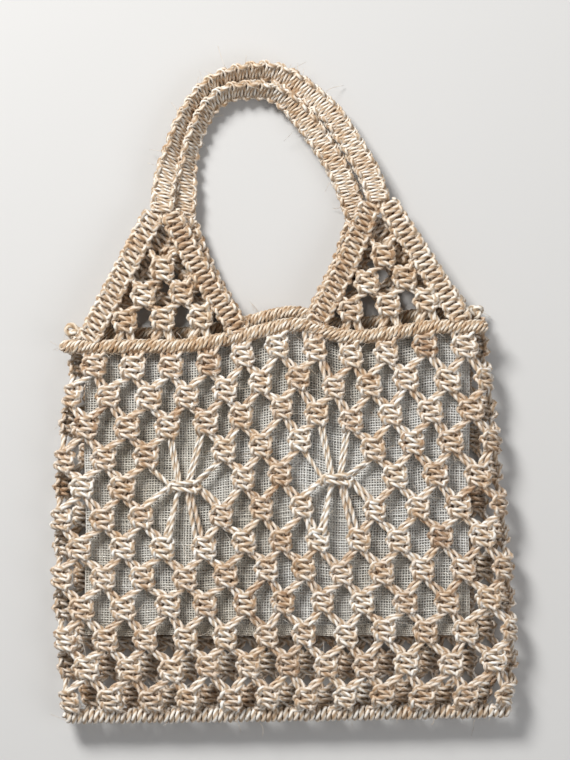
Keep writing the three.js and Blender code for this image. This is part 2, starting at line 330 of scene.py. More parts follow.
# %% Cords into one mesh
class Skein:
    """Collects cords and makes them one mesh, with a map round and along each cord."""

    def __init__(self, thickness=THREAD, step=1.25 * MM, section=PLY_SECTION, lay=LAY, seed=1):
        self.radius = thickness / 2
        self.step = step
        self.section = section
        self.lay = lay
        self.random = np.random.default_rng(seed)
        self.points, self.faces, self.maps, self.shades = [], [], [], []
        self.count = 0
        self.length = 0.0

    def add(self, controls, shade=0.5, vary=0.16, thickness=1.0, parts=8):
        """controls is (cords, points, 3); shade is one number, or one for each cord."""
        lines, lengths = even_steps(smooth_lines(np.asarray(controls, float), parts), self.step)
        cords, rings = lines.shape[:2]
        sides = len(self.section)
        along = np.gradient(lines, axis=1)
        along /= np.linalg.norm(along, axis=2, keepdims=True) + 1e-12
        across = np.empty_like(lines)
        first = np.cross(along[:, 0], self.random.normal(size=(cords, 3)))
        across[:, 0] = first / np.linalg.norm(first, axis=1, keepdims=True)
        for i in range(1, rings):
            carried = across[:, i - 1] - (across[:, i - 1] * along[:, i]).sum(1, keepdims=True) * along[:, i]
            across[:, i] = carried / (np.linalg.norm(carried, axis=1, keepdims=True) + 1e-12)
        high = np.cross(along, across)
        far = lengths[:, None] * np.linspace(0, 1, rings)[None]
        start = self.random.uniform(0, 2 * math.pi, (cords, 1))
        turn = start + 2 * math.pi * far / self.lay
        angle = turn[..., None] + np.arange(sides) * 2 * math.pi / sides
        swell = 1 + 0.05 * np.sin(far / (6 * MM) + start)
        reach = self.radius * thickness * self.section * swell[..., None]
        points = (lines[:, :, None] + (reach * np.cos(angle))[..., None] * across[:, :, None]
                  + (reach * np.sin(angle))[..., None] * high[:, :, None])
        index = np.arange(cords * rings * sides).reshape(cords, rings, sides) + self.count
        ahead = np.roll(index, -1, 2)
        quads = np.stack([index[:, :-1], ahead[:, :-1], ahead[:, 1:], index[:, 1:]], -1).reshape(-1, 4)
        caps = []
        for k in range(1, sides - 1, 2):
            caps.append(index[:, -1, (0, k, k + 1, k + 2)])
            caps.append(index[:, 0, (k + 2, k + 1, k, 0)])
        self.points.append(points.reshape(-1, 3))
        self.faces.append(np.concatenate([quads, *caps]))
        around = np.arange(sides + 1) / sides
        up = far[:, :, None] / (3 * MM) + self.random.uniform(0, 40, (cords, 1, 1))
        u = np.broadcast_to(around, (cords, rings, sides + 1))
        v = np.broadcast_to(up, (cords, rings, sides + 1))
        grid = np.stack([u, v], -1)
        corner = np.stack([grid[:, :-1, :-1], grid[:, :-1, 1:], grid[:, 1:, 1:], grid[:, 1:, :-1]], 3)
        self.maps.append(np.concatenate([corner.reshape(-1, 2), np.zeros((4 * len(caps) * cords, 2))]))
        tone = np.broadcast_to(np.asarray(shade, float).reshape(-1, 1), (cords, 1))
        tone = tone + self.random.normal(0, vary, (cords, 1))
        drift = 0.10 * np.sin(far / (23 * MM) + self.random.uniform(0, 6, (cords, 1)))
        self.shades.append(np.repeat(np.clip(tone + drift, 0, 1).reshape(-1), sides))
        self.count += cords * rings * sides
        self.length += lengths.sum()

    def make(self, name, material):
        points = np.concatenate(self.points)
        faces = np.concatenate(self.faces)
        mesh = bpy.data.meshes.new(name)
        mesh.vertices.add(len(points))
        mesh.vertices.foreach_set("co", points.astype(np.float32).ravel())
        mesh.loops.add(faces.size)
        mesh.loops.foreach_set("vertex_index", faces.astype(np.int32).ravel())
        mesh.polygons.add(len(faces))
        mesh.polygons.foreach_set("loop_start", np.arange(0, faces.size, 4, dtype=np.int32))
        mesh.polygons.foreach_set("use_smooth", np.ones(len(faces), bool))
        corners = np.concatenate(self.maps).astype(np.float32)
        mesh.uv_layers.new(name="cord_map").uv.foreach_set("vector", corners.ravel())
        tone = mesh.attributes.new("cord_shade", "FLOAT", "POINT")
        tone.data.foreach_set("value", np.concatenate(self.shades).astype(np.float32))
        mesh.update()
        mesh.validate()
        mesh.materials.append(material)
        piece = bpy.data.objects.new(name, mesh)
        bpy.context.scene.collection.objects.link(piece)
        print(f"{name}: {self.length:.1f} m of cord, {2 * len(faces)} triangles")
        return piece

# %% [markdown]
# ## Where the net lies
# The net was knotted in the round and then pressed flat, so it runs across the front, turns over
# the left and right edges and comes back underneath. One function gives a place on that surface
# from a column, which counts knots round the bag, a height, and a distance outwards.

# %% Outlines that the frame follows
SHIFT = np.array([0.2, 1.75]) * MM
LEFT_EDGE = [(-140, 21), (-148.4, -37), (-151.6, -98), (-149.6, -160), (-145.5, -203.5)]
RIGHT_EDGE = [(132.4, 30.5), (142, -50), (149, -125), (151.6, -175), (147.5, -199.5)]
RIM = [(-144.7, 29.6), (-92, 29.8), (-62, 30.4), (-28, 36.6), (0, 43.2), (15.5, 42.8),
       (38, 36.2), (64, 37.6), (95, 42.2), (130.5, 42.3)]
SEAM = [(-143, -210), (0, -208.5), (146, -206)]
BACK_RIM = [(x * 0.955 - 2, y + 8) for x, y in RIM]


def flat_line(points):
    """A smooth line through outline points, as (points, 2) in metres."""
    spots = np.zeros((1, len(points), 3))
    spots[0, :, :2] = np.array(points, float) * MM + SHIFT
    return smooth_lines(spots, 16)[0, :, :2]


left_line, right_line = flat_line(LEFT_EDGE)[::-1], flat_line(RIGHT_EDGE)[::-1]
rim_line, back_rim_line, seam_line = flat_line(RIM), flat_line(BACK_RIM), flat_line(SEAM)


def height_on(line, x):
    return np.interp(x, line[:, 0], line[:, 1])


# %% A place on the net
AROUND = 23                  # knots in one row, right round the bag; a guess, 22 to 24 would fit
ACROSS_FRONT = 11.4          # of them, from fold to fold across the front
LEFT_FOLD, RIGHT_FOLD = -0.5, 10.5   # the columns that lie nearest to the folds
ROWS = 12
front_low, front_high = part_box("front_net")
back_low, back_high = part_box("back_net")
NET_HALF = (front_high.z - front_low.z) / 2
MIDDLE = (back_low.z + front_high.z) / 2
TURN = MIDDLE - NET_HALF     # radius of the fold at each edge, at the net's middle
CURL = 20 * MM               # the nets close towards the seam over this height
FIRST_ROW = 12.5 * MM        # from the rim down to the first row's middle
LAST_ROW = 12.2 * MM         # from the seam up to the last row's middle
UNEVEN = 0.009               # the front's columns stand a little closer in the middle
BACK_ROWS_LOWER = 4 * MM     # guessed: the back net hangs this much lower than the front's


def on_bag(column, y, out=0.0):
    column, y, out = np.broadcast_arrays(*(np.asarray(v, float) for v in (column, y, out)))
    left = np.interp(y, left_line[:, 1], left_line[:, 0]) + NET_HALF
    right = np.interp(y, right_line[:, 1], right_line[:, 0]) - NET_HALF
    bottom = height_on(seam_line, (left + right) / 2)
    near = np.clip((y - bottom) / CURL, 0.02, 1)
    radius = TURN * np.sqrt(1 - (1 - near) ** 2)
    quarter = math.pi * radius / 2
    half = right - left - 2 * radius + 2 * quarter
    turned = np.mod(column + (ACROSS_FRONT - RIGHT_FOLD - LEFT_FOLD) / 2, AROUND)
    under = turned > ACROSS_FRONT
    share = np.where(under, (AROUND - turned) / (AROUND - ACROSS_FRONT), turned / ACROSS_FRONT)
    share = share + np.where(under, 0, UNEVEN) * np.sin(2 * math.pi * share)
    far = share * half
    from_left = np.clip(far / radius, 0, math.pi / 2)
    from_right = np.clip((half - far) / radius, 0, math.pi / 2)
    x = left + radius * (1 - np.cos(from_left)) + np.clip(far - quarter, 0, half - 2 * quarter)
    x = np.where(far > half - quarter, right - radius * (1 - np.cos(from_right)), x)
    rise = np.sin(np.minimum(from_left, from_right))
    lean = np.where(far < half / 2, -np.cos(from_left), np.cos(from_right))
    side = np.where(under, -1.0, 1.0)
    return np.stack([x + lean * out, y, MIDDLE + side * rise * (radius + out)], -1)


def columns_per_metre(y):
    left = np.interp(y, left_line[:, 1], left_line[:, 0])
    right = np.interp(y, right_line[:, 1], right_line[:, 0])
    return ACROSS_FRONT / (right - left - 2 * NET_HALF + (math.pi - 2) * TURN)


def row_height(column, row):
    x = on_bag(column, -0.1)[..., 0]
    from_fold = np.mod(np.asarray(column, float) - LEFT_FOLD, AROUND)
    past_right, before_left = from_fold - (RIGHT_FOLD - LEFT_FOLD), AROUND - from_fold
    under = np.clip(np.minimum(past_right, before_left) / 1.5, 0, 1)
    top = height_on(rim_line, x) * (1 - under) + height_on(back_rim_line, x) * under - FIRST_ROW
    top = top - BACK_ROWS_LOWER * under
    bottom = height_on(seam_line, x) + LAST_ROW - 0.3 * BACK_ROWS_LOWER * under
    return top + (bottom - top) * row / (ROWS - 1)


# %% [markdown]
# ## The square knot
# Four cords make each knot. Two are fillers and hang straight. The lead cord crosses in front of
# them, turns back at the side, and crosses again, once for every half knot. The wrapping cord goes
# over the end of each crossing, down through the lead's turn, behind the fillers and up again on
# the other side. Both are written for any number of half knots, so the same two functions tie the
# net's short knots and the long bands of the handles.

# %% Lead, wrap and fillers
HALF_KNOT = 3.65 * MM
KNOT_HALVES = 4
LEAN = 0.20                  # how far each crossing slopes, in half knots
BAND_LEAN = 0.07             # packed in a band, they lie almost level


def half_heights(halves, pitch):
    return (np.arange(halves) - (halves - 1) / 2) * pitch


def lead_cord(halves, pitch=HALF_KNOT, lean=LEAN):
    d, points = CORD, []
    for k, v in enumerate(half_heights(halves, pitch)):
        side = -1 if k % 2 == 0 else 1
        if k == 0:
            points.append((side * 2.2 * d, v - 0.05 * pitch, 0.45 * d))
        else:
            points.append((side * 2.35 * d, v - pitch / 2, 0.6 * d))
        points.append((side * 1.5 * d, v + lean * pitch, 1.1 * d))
        points.append((0, v, 1.32 * d))
        points.append((-side * 1.5 * d, v - lean * pitch, 1.1 * d))
    points.append((-side * 2.1 * d, v + 0.1 * pitch, 0.4 * d))
    points.append((-side * 1.8 * d, v + 0.6 * pitch, 0))
    return np.array(points)


def wrap_cord(halves, pitch=HALF_KNOT):
    d, points = CORD, []
    heights = half_heights(halves, pitch)
    for k, v in enumerate(heights):
        side = -1 if k % 2 == 0 else 1
        if k == 0:
            points.append((-side * 1.95 * d, v - 0.4 * pitch, 1.5 * d))
        else:
            points.append((-side * 2.0 * d, v - 0.5 * pitch, 1.8 * d))
        points.append((-side * 1.55 * d, v + 0.12 * pitch, 0.5 * d))
        points.append((-side * 0.95 * d, v + 0.15 * pitch, -0.85 * d))
        points.append((0, v, -1.1 * d))
        points.append((side * 0.95 * d, v - 0.15 * pitch, -0.85 * d))
        points.append((side * 1.5 * d, v - 0.12 * pitch, 0.45 * d))
    points.append((side * 1.85 * d, v + 0.2 * pitch, 1.35 * d))
    points.append((side * 1.8 * d, v + 0.65 * pitch, 0.45 * d))
    return np.array(points)


def barrel(points, pitch=HALF_KNOT):
    """Makes a short knot wide at its middle and narrow at its ends, where the cords gather."""
    reach = half_heights(KNOT_HALVES, pitch)[-1]
    width = 1.08 - 0.24 * np.clip(points[:, 1] / reach, -1.1, 1.1) ** 2
    return points * np.column_stack([width, np.ones((len(points), 2))])


def filler_cord(halves, place, pitch=HALF_KNOT):
    reach = half_heights(halves, pitch)[-1]
    return np.array([(place * CORD, t * (reach + 0.4 * pitch), 0.3 * CORD) for t in (-1, -0.35, 0.35, 1)])


# %% [markdown]
# ## Tying the net
# Every other row is moved by half a knot. A knot takes two cords from each of the knots above it:
# their fillers become its lead and its wrap, and their outer cords become its fillers. Hand-tied
# knots differ, so each one is nudged, turned and tightened a little.

# %% The knots' places
STARS = (2.5, 6.5)           # columns of the two star motifs
STAR_ROW = 4
FLOAT_GAP = 2.0 * MM         # between neighbouring loose cords at a star's tie
PRESSED = 0.82               # the knots are flattened a little by lying
random = np.random.default_rng(7)


def in_star(column, row):
    return any(abs(column - star) + abs(row - STAR_ROW) / 2 < 0.75 for star in STARS)


knots = {}
for row in range(ROWS):
    for k in range(AROUND):
        column = k - (row % 2) / 2
        nudge = random.normal(size=4)
        knots[round(2 * column) % (2 * AROUND), row] = {
            "column": column + 0.035 * nudge[0], "tied": not in_star(column, row),
            "y": float(row_height(column, row)) + 0.8 * MM * nudge[1],
            "turn": math.radians(3.5) * nudge[2], "size": 1 + 0.03 * nudge[3]}


def knot_at(column, row):
    return knots.get((round(2 * column) % (2 * AROUND), row))


def on_knot(knot, points):
    """Carries points from a knot's own frame (across, down, out) onto the bag."""
    across, down, out = (points * knot["size"]).T
    turned = across * math.cos(knot["turn"]) - down * math.sin(knot["turn"])
    down = across * math.sin(knot["turn"]) + down * math.cos(knot["turn"])
    y = knot["y"] - down
    return on_bag(knot["column"] + turned * columns_per_metre(y), y, PRESSED * out)


# %% One knot with the cords that reach it
RIM_SPREAD = (-6.8, -2.3, 2.3, 6.8)   # where its four cords leave the rim, in mm from its middle
lead, wrap = barrel(lead_cord(KNOT_HALVES)), barrel(wrap_cord(KNOT_HALVES))
fillers = {side: filler_cord(KNOT_HALVES, side * 0.5) for side in (-1, 1)}


def star_pair(column, down):
    """Where this column's two loose cords pass a star's middle, a given way below it."""
    star = min(STARS, key=lambda middle: abs(middle - column))
    aside = (4 * abs(column - star) - 1) * math.copysign(1, column - star)
    height = float(row_height(star, STAR_ROW)) - down
    across = (aside + np.array([-0.5, 0.5])) * FLOAT_GAP * columns_per_metre(height)
    return on_bag(star + across, height, 0.15 * CORD)


def cords_from_above(knot, column, row):
    """Start points for the lead, the left filler, the right filler and the wrap."""
    if row == 0:
        starts = []
        for across in RIM_SPREAD:
            place = column + across * MM * columns_per_metre(knot["y"])
            x = on_bag(place, knot["y"])[0]
            y = height_on(back_rim_line if column > RIGHT_FOLD else rim_line, x) - 1.5 * MM
            starts.append([on_bag(place, y, 0.6 * MM)])
        return starts
    starts = []
    for side in (-1, 1):
        above = knot_at(column + side / 2, row - 1)
        if above["tied"]:
            filler_end = on_knot(above, fillers[-side][2:])
            outer = (wrap if side < 0 else lead)[-2:]
            outer_end = on_knot(above, outer)
            starts.append((list(filler_end), list(outer_end)))
        else:
            first, second = star_pair(column, -2.5 * MM)
            starts.append(([first], [second]))
    (lead_start, left_start), (wrap_start, right_start) = starts
    return [lead_start, left_start, right_start, wrap_start]


def tie_knots(skein, chosen):
    """Ties the chosen (column, row) knots, grouped by how many points each cord has."""
    groups = {}
    for column, row in chosen:
        knot = knot_at(column, row)
        if not knot["tied"]:
            continue
        starts = cords_from_above(knot, column, row)
        for start, shape in zip(starts, (lead, fillers[-1], fillers[1], wrap)):
            line = np.concatenate([np.array(start), on_knot(knot, shape)])
            pale = len(start) == 1 and row > 0
            groups.setdefault((len(line), pale), []).append(line)
    for (points, pale), lines in groups.items():
        skein.add(np.array(lines), shade=0.78 if pale else 0.5)


def finish_piece(piece, body, slot, *nodes):
    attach(piece, body)
    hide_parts(*nodes)


# %% Front net, in three bands of rows
def front_columns(row):
    return [k + 0.5 for k in range(10)] if row % 2 else list(range(11))


for band, rows in (("upper", range(0, 4)), ("middle", range(4, 8)), ("lower", range(8, ROWS))):
    skein = Skein(seed=20 + rows[0])
    tie_knots(skein, [(column, row) for row in rows for column in front_columns(row)])
    finish_piece(skein.make(f"front_net_{band}", jute_net), "front_panel", "net_jute", "front_net")

# %% Back net, seen only through the front and from below, so its cords have fewer faces
COARSE_SECTION = np.array([1.0, 0.8, 0.8, 1.0, 0.8, 0.8])


def back_columns(row):
    return [k + 0.5 for k in range(11, 22)] if row % 2 else list(range(11, 23))


for band, rows in (("upper", range(0, 6)), ("lower", range(6, ROWS))):
    skein = Skein(step=1.9 * MM, section=COARSE_SECTION, seed=40 + rows[0])
    tie_knots(skein, [(column, row) for row in rows for column in back_columns(row)])
    finish_piece(skein.make(f"back_net_{band}", jute_net), "back_panel", "net_jute", "back_net")

# %% Side nets, at the folds between the two panels
for name, column in (("side_net_left", LEFT_FOLD), ("side_net_right", RIGHT_FOLD)):
    skein = Skein(seed=60 + int(column))
    tie_knots(skein, [(column, row) for row in range(1, ROWS, 2)])
    piece = skein.make(name, jute_net)
    low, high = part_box(name)
    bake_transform(piece)
    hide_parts(name)

# %% [markdown]
# ## The two stars
# At each star four knots are left out, so that eight cords run loose to the middle. Six of them
# pass straight through, and the outer two tie one wide square knot round them. The loose cords
# were never pulled through a knot, so they keep the palest, silkiest colour.

# %% Loose cords and their ties
TIE_HALVES = 2
TIE_SHAPE = np.array([1.55, 1.12, 1.0])   # wider than a net knot, and a little looser


def star_knot(star):
    height = float(row_height(star, STAR_ROW))
    return {"column": star, "y": height, "turn": 0.0, "size": 1.0}


for name, star in zip(("left", "right"), STARS):
    floats, tie = Skein(seed=70 + int(star)), Skein(seed=80 + int(star))
    lift = np.array([0, 0, 0.55]) * CORD
    tie_lines = {}
    for column, row in ((star - 1, 3), (star - 0.5, 2), (star + 0.5, 2), (star + 1, 3)):
        side = 1 if column < star else -1
        above = knot_at(column, row)
        filler_end = on_knot(above, fillers[side][2:])
        outer_end = on_knot(above, (wrap if side > 0 else lead)[-2:])
        outside, inside = star_pair(column, 3 * MM)[::side]
        if row == 3:
            tie_lines[side] = outer_end
            loose = [[*filler_end, inside]]
        else:
            loose = [[*filler_end, outside], [*outer_end, inside]]
        for line in loose:
            floats.add([line], shade=0.78, vary=0.08, thickness=0.72)
    middle = star_knot(star)
    for side, shape in ((1, lead_cord(TIE_HALVES)), (-1, wrap_cord(TIE_HALVES))):
        tied = on_knot(middle, shape * TIE_SHAPE + lift)
        tie.add([[*tie_lines[side], *tied]], shade=0.72, vary=0.08, thickness=0.9)
    finish_piece(floats.make(f"star_{name}_loose_cords", jute_pale), "front_panel", "pale_jute",
                 f"star_{name}_floats")
    finish_piece(tie.make(f"star_{name}_knot", jute_pale), "front_panel", "pale_jute", f"star_{name}_tie")

# %% [markdown]
# ## The rims and the seam
# A rim is a bundle of core cords with the net's cords hitched round it, side by side. Hitches slant
# because each one is pulled on to the next, so four cords wind round the core together here. At
# each end the winding closes to a rounded tip.


# %% Winding round a bar
def line_frame(line, places):
    """Points and directions on a flat line at given distances; past its ends it runs on straight."""
    gaps = np.linalg.norm(np.diff(line, axis=0), axis=1)
    far = np.concatenate([[0], np.cumsum(gaps)])
    points = np.stack([np.interp(places, far, line[:, axis]) for axis in (0, 1)], -1)
    slopes = np.gradient(line, far, axis=0)
    along = np.stack([np.interp(places, far, slopes[:, axis]) for axis in (0, 1)], -1)
    along /= np.linalg.norm(along, axis=-1, keepdims=True)
    beyond = places - np.clip(places, 0, far[-1])
    return points + along * beyond[:, None], along


def line_length(line):
    return float(np.linalg.norm(np.diff(line, axis=0), axis=1).sum())


def wind(skein, line, height, radius, starts, advance, shade=0.5):
    length = line_length(line)
    places = np.arange(0, length, advance / 14)
    middle, along = line_frame(line, places)
    up = np.stack([-along[:, 1], along[:, 0]], -1)
    near_end = np.clip(np.minimum(places, length - places) / (1.5 * radius), 0, 1)
    reach = radius * np.sqrt(1 - (1 - near_end) ** 2)
    cords = []
    for k in range(starts):
        wander = 0.10 * np.sin(places / (7 * MM) + k) + 0.09 * np.sin(places / (17 * MM) + 2 * k)
        angle = 2 * math.pi * (places / advance + k / starts) + wander
        away = reach * (1 + 0.05 * np.sin(places / (5 * MM) + 3 * k))
        flat = middle + up * (away * np.sin(angle))[:, None]
        cords.append(np.column_stack([flat, height + away * np.cos(angle)]))
    skein.add(np.array(cords), shade=shade, vary=0.1, parts=2)


def core_cords(skein, line, height, spread, inset):
    places = np.linspace(inset, line_length(line) - inset, 60)
    middle, along = line_frame(line, places)
    up = np.stack([-along[:, 1], along[:, 0]], -1)
    cords = []
    for angle in (0.5, 2.6, 4.7):
        flat = middle + up * spread * math.sin(angle)
        cords.append(np.column_stack([flat, height + np.full(len(places), spread * math.cos(angle))]))
    skein.add(np.array(cords), shade=0.3, parts=2)


# %% Front and back rims
BAR_RADIUS = 3.5 * MM
BAR_STARTS = 4
BAR_ADVANCE = 10.4 * MM      # along the bar, for one turn of each cord
CORE_SPREAD = 1.2 * MM
CORE_STEP = 4 * MM
FRONT_HEIGHT = (front_low.z + front_high.z) / 2
BACK_HEIGHT = (back_low.z + back_high.z) / 2
for end, line, height in (("front", rim_line, FRONT_HEIGHT), ("back", back_rim_line, BACK_HEIGHT)):
    skein = Skein(thickness=2.9 * MM, seed=90)
    wind(skein, line, height, BAR_RADIUS, BAR_STARTS, BAR_ADVANCE)
    finish_piece(skein.make(f"{end}_rim_wraps", jute_rim), f"{end}_panel", "rim_jute", f"{end}_rim_hitches")
    skein = Skein(thickness=2.6 * MM, step=CORE_STEP, section=COARSE_SECTION, seed=91)
    core_cords(skein, line, height, CORE_SPREAD, 3 * MM)
    finish_piece(skein.make(f"{end}_rim_bundle", jute_rim), f"{end}_panel", "rim_jute", f"{end}_rim_core")

# %% The loop and the knot at the back rim's ends
loop_low, loop_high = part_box("back_rim_loop")
knot_low, knot_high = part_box("back_rim_end_knot")
loop_middle = np.array((loop_low + loop_high) / 2)
bar_end = np.array([*back_rim_line[0], BACK_HEIGHT])
LOOP_RADIUS = 3 * MM
LOOP_ASIDE = np.array([7.3, 2.3, 2]) * MM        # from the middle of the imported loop
END_KNOT_ASIDE = np.array([-3.5, 1.5, 3]) * MM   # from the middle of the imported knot
END_KNOT_SIZE = 1.45 * MM
skein = Skein(seed=95)
turns = np.radians(np.arange(-50, 260, 20))
middle = loop_middle + LOOP_ASIDE
ring = [middle + LOOP_RADIUS * np.array([-math.sin(a), math.cos(a), 0.15 * a]) for a in turns]
skein.add([[bar_end + np.array([9, 1, 0]) * MM, *ring, bar_end + np.array([10, -2, -1]) * MM]],
          shade=0.6, thickness=1.15)
finish_piece(skein.make("back_rim_cord_loop", jute_rim), "back_panel", "rim_jute", "back_rim_loop")
skein = Skein(seed=96)
spots = []
for t in np.linspace(0, 2 * math.pi, 19):
    spots.append([math.sin(t) + 2 * math.sin(2 * t), math.cos(t) - 2 * math.cos(2 * t),
                  -1.5 * math.sin(3 * t)])
end_knot_middle = np.array(knot_low + knot_high) / 2 + END_KNOT_ASIDE
skein.add([end_knot_middle + np.array(spots) * END_KNOT_SIZE])
finish_piece(skein.make("back_rim_overhand_knot", jute_rim), "back_panel", "rim_jute", "back_rim_end_knot")

# %% The bottom seam, and the last cords that run into it
SEAM_RADIUS = 3.5 * MM
SEAM_HEIGHT = MIDDLE + 0.8 * MM
SEAM_THREAD = 3.5 * MM
SEAM_ADVANCE = 3.5 * MM      # one thread's width, so the turns lie side by side
skein = Skein(thickness=SEAM_THREAD, seed=97)
wind(skein, seam_line, SEAM_HEIGHT, SEAM_RADIUS, 1, SEAM_ADVANCE, shade=0.75)
finish_piece(skein.make("bottom_seam_wraps", jute_net), "back_panel", "rim_jute", "bottom_seam_hitches")
skein = Skein(thickness=3.0 * MM, step=CORE_STEP, section=COARSE_SECTION, seed=98)
core_cords(skein, seam_line, SEAM_HEIGHT, CORE_SPREAD, 2 * MM)
finish_piece(skein.make("bottom_seam_bundle", jute_rim), "back_panel", "rim_jute", "bottom_seam_core")


def tail_cords(skein, columns):
    """The four cords under each knot of the last row, down to the seam."""
    lines = []
    for column in columns:
        knot = knot_at(column, ROWS - 1)
        for shape in (fillers[-1], fillers[1], wrap, lead):
            ends = on_knot(knot, shape[-2:])
            aside = (ends[-1, 0] - on_knot(knot, np.zeros((1, 3)))[0, 0]) * 0.8
            foot = ends[-1] + [aside, 0, 0]
            foot[1] = height_on(seam_line, foot[0])
            foot[2] = MIDDLE + 0.5 * (ends[-1, 2] - MIDDLE)
            lines.append([*ends, foot * [1, 0.45, 1] + ends[-1] * [0, 0.55, 0], foot])
    skein.add(lines, shade=0.45)


TAIL_SIDES = (("front", front_columns(1), PLY_SECTION), ("back", back_columns(1), COARSE_SECTION))
for end, columns, section in TAIL_SIDES:
    skein = Skein(section=section, seed=99)
    tail_cords(skein, columns + [columns[0] - 1, columns[-1] + 1])
    finish_piece(skein.make(f"{end}_net_tails", jute_net), f"{end}_panel", "net_jute", f"{end}_net")

# %% [markdown]
# ## The handles
# Each handle stands on the rim in two shoulders. A shoulder is a triangle: two bands of square
# knots lean together, and six knots fill the space between them. From their tops one strap of the
# same knots runs up and over. It lies flat at its ends and leans outwards round the arch.

# %% Where a handle lies
RIM_AXIS_ANGLE = math.radians(3.8)
RIM_AXIS = Vector((math.cos(RIM_AXIS_ANGLE), math.sin(RIM_AXIS_ANGLE), 0))
HANDLES = {
    "front": {
        "pivot": (-8, 35), "slope": -4.9, "height": FRONT_HEIGHT,
        "left": {"outer": (-127, 40), "inner": (-31, 44.5), "top": (-79.5, 115)},
        "right": {"outer": (113, 53), "inner": (21, 49.5), "top": (60.5, 121.5)},
        "strap": [(-79.6, 117), (-77.6, 137), (-72, 156.5), (-66.8, 172), (-59.4, 185.8), (-49.6, 197.6),
                  (-34.4, 205.2), (-13.5, 208.4), (-1.5, 205.4), (7.6, 200), (18.6, 191.6), (30.6, 180.4),
                  (39.6, 166.8), (47.9, 153.6), (55.5, 139.4), (60.8, 124)]},
    "back": {
        "pivot": (-8, 43), "slope": 1.15, "height": BACK_HEIGHT,
        "left": {"outer": (-121, 49.5), "inner": (-36, 53), "top": (-69, 108)},
        "right": {"outer": (110, 61), "inner": (23, 57.5), "top": (51, 108)},
        "strap": [(-67, 107), (-65.5, 118), (-63.9, 137), (-60.8, 156), (-56, 171.5), (-49.2, 184),
                  (-42.6, 190.6), (-32, 194.8), (-12.3, 195), (-0.8, 190), (8.4, 181.6), (18.3, 170),
                  (27.4, 157), (35.4, 143), (41.8, 128), (46, 116), (50, 106)]},
}


def on_handle(plan, points):
    """Carries points (x, y, out), in metres from the bag's outline, onto the sloping handle."""
    pivot = np.array([*plan["pivot"], 0]) * MM
    turn = np.array(Matrix.Rotation(math.radians(plan["slope"]), 3, RIM_AXIS))
    return (np.asarray(points) - pivot) @ turn.T + pivot + [*SHIFT, plan["height"]]


# %% Bands of square knots
LEAD_PAIR = ((-0.24, 0.74), (0.26, 0.74))   # a strap's lead is doubled: where, and how thick
WRAP_THICKNESS = 0.95
BAND_PITCH = 4.1 * MM
STRAP_PITCH = 4.35 * MM
BAND_SHAPE = np.array([0.97, 1, 0.80])
ARCH_OUT = 2.5 * MM
STRAP_TILT = math.radians(48)   # the arch leans outwards, so its inner face shows
STRAP_SHAPE = np.array([1.02, 1, 0.78])
STRAP_FILLERS = (-1.1, -0.4, 0.4, 1.1)


def strap_roll(share):
    """How far the strap leans, along its length."""
    def ease(low, high):
        t = np.clip((share - low) / (high - low), 0, 1)
        return t * t * (3 - 2 * t)
    return STRAP_TILT * np.minimum(ease(0.06, 0.2), 1 - ease(0.5, 0.72))


def band(skein, plan, route, pitch, shape, filler_places, leads=((0, 1),), roll=None):
    """Ties square knots from one end of a flat route to the other."""
    line = smooth_lines(np.array([[(x * MM, y * MM, 0) for x, y in route]]), 16)[0, :, :2]
    length = line_length(line)
    halves = int(round(length / pitch))
    pitch = length / halves
    cords = [(lead_cord(halves, pitch, BAND_LEAN) + [0, beside * pitch, 0], thickness)
             for beside, thickness in leads]
    cords.append((wrap_cord(halves, pitch), WRAP_THICKNESS))
    for place in filler_places:
        far = np.linspace(-0.52 * length, 0.52 * length, halves)
        cords.append((np.column_stack([np.full(halves, place * CORD), far, np.zeros(halves)]), 1))
    for cord, thickness in cords:
        across, down, out = (cord * shape).T
        places = down + length / 2
        middle, along = line_frame(line, places)
        side = np.stack([-along[:, 1], along[:, 0]], -1)
        turn = roll(np.clip(places / length, 0, 1)) if roll else np.zeros(len(places))
        lean_out = ARCH_OUT * turn / STRAP_TILT
        flat = middle + side * (lean_out + across * np.cos(turn) - out * np.sin(turn))[:, None]
        points = np.column_stack([flat, across * np.sin(turn) + out * np.cos(turn)])
        skein.add([on_handle(plan, points)], vary=0.1, thickness=thickness)
    return halves


# %% A shoulder
FILL_ROWS = 3
FILL_PITCH = 3.6 * MM
FILL_ACROSS = 24.4 * MM
FILL_DOWN = 16.2 * MM
FOOT_SPREAD = 2.6 * MM
FILL_FOOT = 5.0 * MM         # height of the lowest row above the feet
fill_lead = barrel(lead_cord(KNOT_HALVES, FILL_PITCH), FILL_PITCH)
fill_wrap = barrel(wrap_cord(KNOT_HALVES, FILL_PITCH), FILL_PITCH)
fill_fillers = {side: filler_cord(KNOT_HALVES, side * 0.5, FILL_PITCH) for side in (-1, 1)}


def shoulder_bands(skein, plan, corners):
    top = np.array(corners["top"])
    for foot, inset in ((corners["outer"], 3), (corners["inner"], 1.5)):
        foot = np.array(foot)
        towards = math.copysign(1, foot[0] - top[0])
        foot = foot - [towards * inset, 0]
        end = top + [towards * 5, 1.5]
        lower = foot + (foot - end) / np.linalg.norm(foot - end) * 8
        bow = np.array([-towards * 1.8, -1.2]) if inset < 2 else np.zeros(2)
        band(skein, plan, [end, (end + foot) / 2 + bow, foot, lower], BAND_PITCH, BAND_SHAPE, (-0.5, 0.5))


